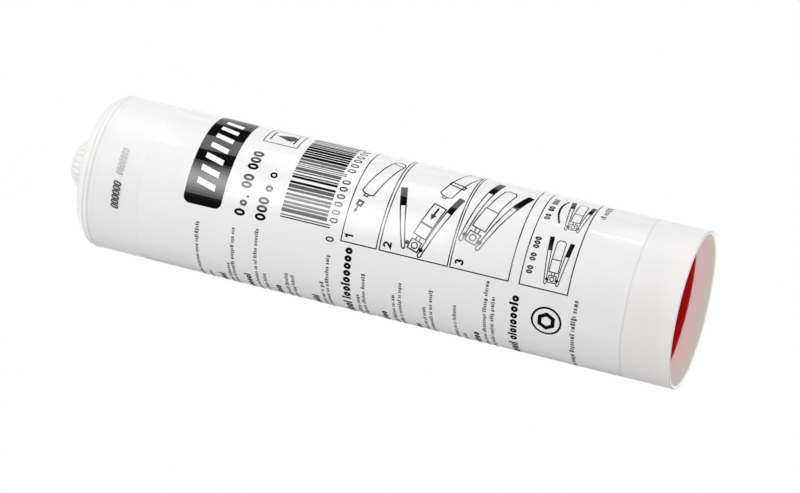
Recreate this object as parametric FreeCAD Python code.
import FreeCAD, Part
import math
import os

# Grease cartridge: an open-ended tube with a follower piston, grease and a screw cap.
# Frame: origin at the centre of the open rear rim, +Z along the axis towards the cap.
# The cartridge stands on its rear rim. Millimetres.

V = FreeCAD.Vector
ORIGIN = V(0, 0, 0)
AXIS = V(0, 0, 1)

# ---- tube ----
tube_d = 60.0                  # outside diameter
tube_wall = 1.2                # side wall
tube_length = 237.6            # rear rim to the face of the front wall
front_wall = 1.6               # front wall, behind the neck
shoulder_r = 6.8               # outer radius of the rounded front edge
rim_chamfer = 0.3              # broken edges of the rear rim
ring_count = 3                 # fine ring grooves round the front edge
ring_pitch = 2.0
ring_front_gap = 4.7           # front wall's face to the nearest ring
ring_r = 0.35                  # section radius of one groove
ring_depth = 0.2

# ---- neck and its outside thread (right-hand) ----
neck_d = 15.6                  # thread root diameter
neck_bore_d = 12.0             # outlet
neck_height = 6.4              # above the front wall's face
neck_lip_chamfer = 0.4
thread_height = 0.7            # ridge height, neck and cap alike
thread_pitch = 3.0
thread_root_w = 1.3            # width of a ridge where it leaves its wall
thread_tip_w = 0.6
thread_embed = 0.2             # how far a ridge reaches into its wall
neck_thread_turns = 1.4
neck_thread_gap = 1.2          # front wall's face to the ridge's first centre line

# ---- wrap label ----
label_rear_gap = 19.0          # bare tube behind the label
label_front_gap = 27.0         # label's front edge to the front wall's face
label_film = 0.15
label_glue = 0.05              # adhesive layer between tube and film
label_gap = 2.0                # bare strip between the film's two ends, at the back

# ---- follower piston ----
piston_rear_z = 7.4            # piston's rear edge above the rim
piston_height = 14.6
piston_wall = 1.2
piston_disc = 1.6              # front disc
piston_lip_height = 1.6        # the two sealing lips
piston_waist = 0.4             # how far the skirt stands in from the lips
piston_clearance = 0.1         # lips to the tube's bore, radial
piston_inner_fillet = 2.0

# ---- grease ----
grease_piston_gap = 0.2        # front disc to grease
grease_neck_drop = 0.6         # below the neck's lip

# ---- cap liner ----
liner_thickness = 0.8
liner_play = 0.55              # round the liner, to the tips of the cap's thread
liner_seat_gap = 0.1           # above the lip and below the cap's seat

# ---- screw cap ----
cap_skirt_wall = 1.75          # from the bore to the outside of the ribs
cap_height = 11.1              # front wall's face to the cap's end
cap_foot_gap = 0.3             # under the skirt
cap_dome_r = 6.5               # rounded end
cap_dome_wall = 1.4
cap_rib_count = 24
cap_groove_depth = 0.55
cap_groove_r = 0.75            # section radius of the grooves between ribs
cap_groove_end_deg = 58.0      # how far up the rounded end the grooves run
cap_play = 0.25                # between the two threads, radial
cap_thread_turns = 1.25
cap_thread_gap = 1.2           # skirt's foot to the ridge's first centre line
cap_seat_inset = 1.2           # neck's outside to the ring that holds the liner on the lip
cap_seat_wall = 1.0

# ---- worked out from the values above ----
tube_r = tube_d / 2
bore_r = tube_r - tube_wall
front_inner_z = tube_length - front_wall
inner_shoulder_r = shoulder_r - tube_wall
neck_r = neck_d / 2
neck_bore_r = neck_bore_d / 2
lip_z = tube_length + neck_height
piston_front_z = piston_rear_z + piston_height
piston_r = bore_r - piston_clearance
cap_foot_z = tube_length + cap_foot_gap
cap_end_z = tube_length + cap_height
cap_bore_r = neck_r + thread_height + cap_play
cap_r = cap_bore_r + cap_skirt_wall
cap_seat_r = neck_r - cap_seat_inset
liner_z = lip_z + liner_seat_gap
liner_r = cap_bore_r - thread_height - liner_play


class Profile:
    """Half section (radius, height) drawn point by point and spun about Z."""

    def __init__(self, r, z):
        self.edges = []
        self.start = (r, z)
        self.at = (r, z)

    def line(self, r, z):
        self.edges.append(Part.LineSegment(self._v(self.at), self._v((r, z))).toShape())
        self.at = (r, z)
        return self

    def arc(self, centre, radius, start_deg, end_deg):
        """Arc about centre; angles from +radius towards +Z. A line joins it to the pen."""
        def on_arc(deg):
            a = math.radians(deg)
            return centre[0] + radius * math.cos(a), centre[1] + radius * math.sin(a)
        first, middle, last = [on_arc(d) for d in (start_deg, (start_deg + end_deg) / 2, end_deg)]
        if math.dist(self.at, first) > 1e-6:
            self.line(*first)
        self.edges.append(Part.Arc(self._v(first), self._v(middle), self._v(last)).toShape())
        self.at = last
        return self

    def spin(self, degrees=360.0):
        if math.dist(self.at, self.start) > 1e-6:
            self.line(*self.start)
        face = Part.Face(Part.Wire(self.edges))
        return face.revolve(ORIGIN, AXIS, degrees)

    @staticmethod
    def _v(point):
        return V(point[0], 0, point[1])


def ring(inner_r, outer_r, z, height):
    """Plain ring or, with no inner radius, a disc."""
    solid = Part.makeCylinder(outer_r, height, V(0, 0, z))
    if inner_r > 0:
        solid = solid.cut(Part.makeCylinder(inner_r, height, V(0, 0, z)))
    return solid


def thread_ridge(wall_r, outwards, start_z, turns, start_deg=0.0):
    """Right-hand helical ridge on a wall, pointing outwards (+1) or inwards (-1)."""
    root_r = wall_r - outwards * thread_embed
    tip_r = wall_r + outwards * thread_height
    corners = [
        V(root_r, 0, -thread_root_w / 2),
        V(tip_r, 0, -thread_tip_w / 2),
        V(tip_r, 0, thread_tip_w / 2),
        V(root_r, 0, thread_root_w / 2),
    ]
    section = Part.makePolygon(corners + corners[:1])
    path = Part.makeHelix(thread_pitch, thread_pitch * turns, wall_r)
    ridge = Part.Wire(path.Edges).makePipeShell([section], True, True)
    ridge.translate(V(0, 0, start_z))
    ridge.rotate(ORIGIN, AXIS, start_deg)
    return ridge


def outer_radius_at(z):
    """Outside radius of the tube at a height, the rounded front edge included."""
    rise = max(0.0, z - (tube_length - shoulder_r))
    return tube_r - shoulder_r + math.sqrt(shoulder_r ** 2 - rise ** 2)


def make_tube():
    shoulder_centre = (tube_r - shoulder_r, tube_length - shoulder_r)
    inner_centre = (bore_r - inner_shoulder_r, front_inner_z - inner_shoulder_r)
    body = Profile(bore_r + rim_chamfer, 0)
    body.line(tube_r - rim_chamfer, 0)
    body.line(tube_r, rim_chamfer)
    body.arc(shoulder_centre, shoulder_r, 0, 90)
    body.line(neck_r, tube_length)
    body.line(neck_r, lip_z - neck_lip_chamfer)
    body.line(neck_r - neck_lip_chamfer, lip_z)
    body.line(neck_bore_r, lip_z)
    body.line(neck_bore_r, front_inner_z)
    body.arc(inner_centre, inner_shoulder_r, 90, 0)
    body.line(bore_r, rim_chamfer)
    tube = body.spin()
    for i in range(ring_count):
        z = tube_length - ring_front_gap - i * ring_pitch
        groove_r = outer_radius_at(z) + ring_r - ring_depth
        tube = tube.cut(Part.makeTorus(groove_r, ring_r, V(0, 0, z)))
    thread_z = tube_length + neck_thread_gap
    return tube.fuse(thread_ridge(neck_r, 1, thread_z, neck_thread_turns))


def make_label():
    inner_r = tube_r + label_glue
    outer_r = inner_r + label_film
    gap_deg = math.degrees(label_gap / outer_r)
    front_z = tube_length - label_front_gap
    film = Profile(inner_r, label_rear_gap)
    film.line(outer_r, label_rear_gap)
    film.line(outer_r, front_z)
    film.line(inner_r, front_z)
    wrap = film.spin(360 - gap_deg)
    wrap.rotate(ORIGIN, AXIS, 90 + gap_deg / 2)
    return wrap


def make_grease():
    rear_z = piston_front_z + grease_piston_gap
    centre = (bore_r - inner_shoulder_r, front_inner_z - inner_shoulder_r)
    fill = Profile(0, rear_z)
    fill.line(bore_r, rear_z)
    fill.arc(centre, inner_shoulder_r, 0, 90)
    fill.line(neck_bore_r, front_inner_z)
    fill.line(neck_bore_r, lip_z - grease_neck_drop)
    fill.line(0, lip_z - grease_neck_drop)
    return fill.spin()


def make_piston():
    skirt_r = piston_r - piston_waist
    inner_r = skirt_r - piston_wall
    disc_rear_z = piston_front_z - piston_disc
    front_r = inner_shoulder_r
    fillet_centre = (inner_r - piston_inner_fillet, disc_rear_z - piston_inner_fillet)
    front_centre = (piston_r - front_r, piston_front_z - front_r)
    front_lip_z = front_centre[1]
    cup = Profile(inner_r, piston_rear_z)
    cup.line(piston_r, piston_rear_z)
    cup.line(piston_r, piston_rear_z + piston_lip_height)
    cup.line(skirt_r, piston_rear_z + piston_lip_height + piston_waist)
    cup.line(skirt_r, front_lip_z - piston_lip_height - piston_waist)
    cup.line(piston_r, front_lip_z - piston_lip_height)
    cup.arc(front_centre, front_r, 0, 90)
    cup.line(0, piston_front_z)
    cup.line(0, disc_rear_z)
    cup.arc(fillet_centre, piston_inner_fillet, 90, 0)
    return cup.spin()


def make_liner():
    return ring(0, liner_r, liner_z, liner_thickness)


def rib_groove():
    """Cutter for one groove: up the skirt and on over the rounded end at an even depth."""
    centre = V(cap_r - cap_dome_r, 0, cap_end_z - cap_dome_r)
    reach = cap_dome_r - cap_groove_depth + cap_groove_r

    def on_arc(deg):
        a = math.radians(deg)
        return centre + V(reach * math.cos(a), 0, reach * math.sin(a))

    foot = V(centre.x + reach, 0, cap_foot_z - cap_groove_r)
    bend = Part.Arc(on_arc(0), on_arc(cap_groove_end_deg / 2), on_arc(cap_groove_end_deg))
    path = Part.Wire([Part.LineSegment(foot, on_arc(0)).toShape(), bend.toShape()])
    section = Part.Wire(Part.makeCircle(cap_groove_r, foot, AXIS))
    return path.makePipeShell([section], True, True)


def make_cap():
    dome_centre = (cap_r - cap_dome_r, cap_end_z - cap_dome_r)
    inner_dome_r = cap_dome_r - cap_dome_wall
    bore_deg = math.degrees(math.acos((cap_bore_r - dome_centre[0]) / inner_dome_r))
    shell = Profile(cap_bore_r, cap_foot_z)
    shell.line(cap_r, cap_foot_z)
    shell.arc(dome_centre, cap_dome_r, 0, 90)
    shell.line(0, cap_end_z)
    shell.line(0, cap_end_z - cap_dome_wall)
    shell.arc(dome_centre, inner_dome_r, 90, bore_deg)
    cap = shell.spin()
    for i in range(cap_rib_count):
        groove = rib_groove()
        groove.rotate(ORIGIN, AXIS, 360 * i / cap_rib_count)
        cap = cap.cut(groove)
    seat_z = liner_z + liner_thickness + liner_seat_gap
    seat_height = cap_end_z - cap_dome_wall / 2 - seat_z
    cap = cap.fuse(ring(cap_seat_r - cap_seat_wall, cap_seat_r, seat_z, seat_height))
    thread_z = cap_foot_z + cap_thread_gap
    neck_thread_z = tube_length + neck_thread_gap
    half_pitch_deg = 360 * (thread_z - neck_thread_z - thread_pitch / 2) / thread_pitch
    return cap.fuse(thread_ridge(cap_bore_r, -1, thread_z, cap_thread_turns, half_pitch_deg))


def main():
    os.makedirs("parts", exist_ok=True)
    parts = {
        "cartridge_tube": make_tube(),
        "wrap_label": make_label(),
        "grease_fill": make_grease(),
        "follower_piston": make_piston(),
        "cap_liner": make_liner(),
        "screw_cap": make_cap(),
    }
    for name, shape in parts.items():
        print(f"{name}: {len(shape.Solids)} solid, {shape.Volume:.0f} mm3, valid {shape.isValid()}")
        shape.exportStep(f"parts/{name}.step")


main()
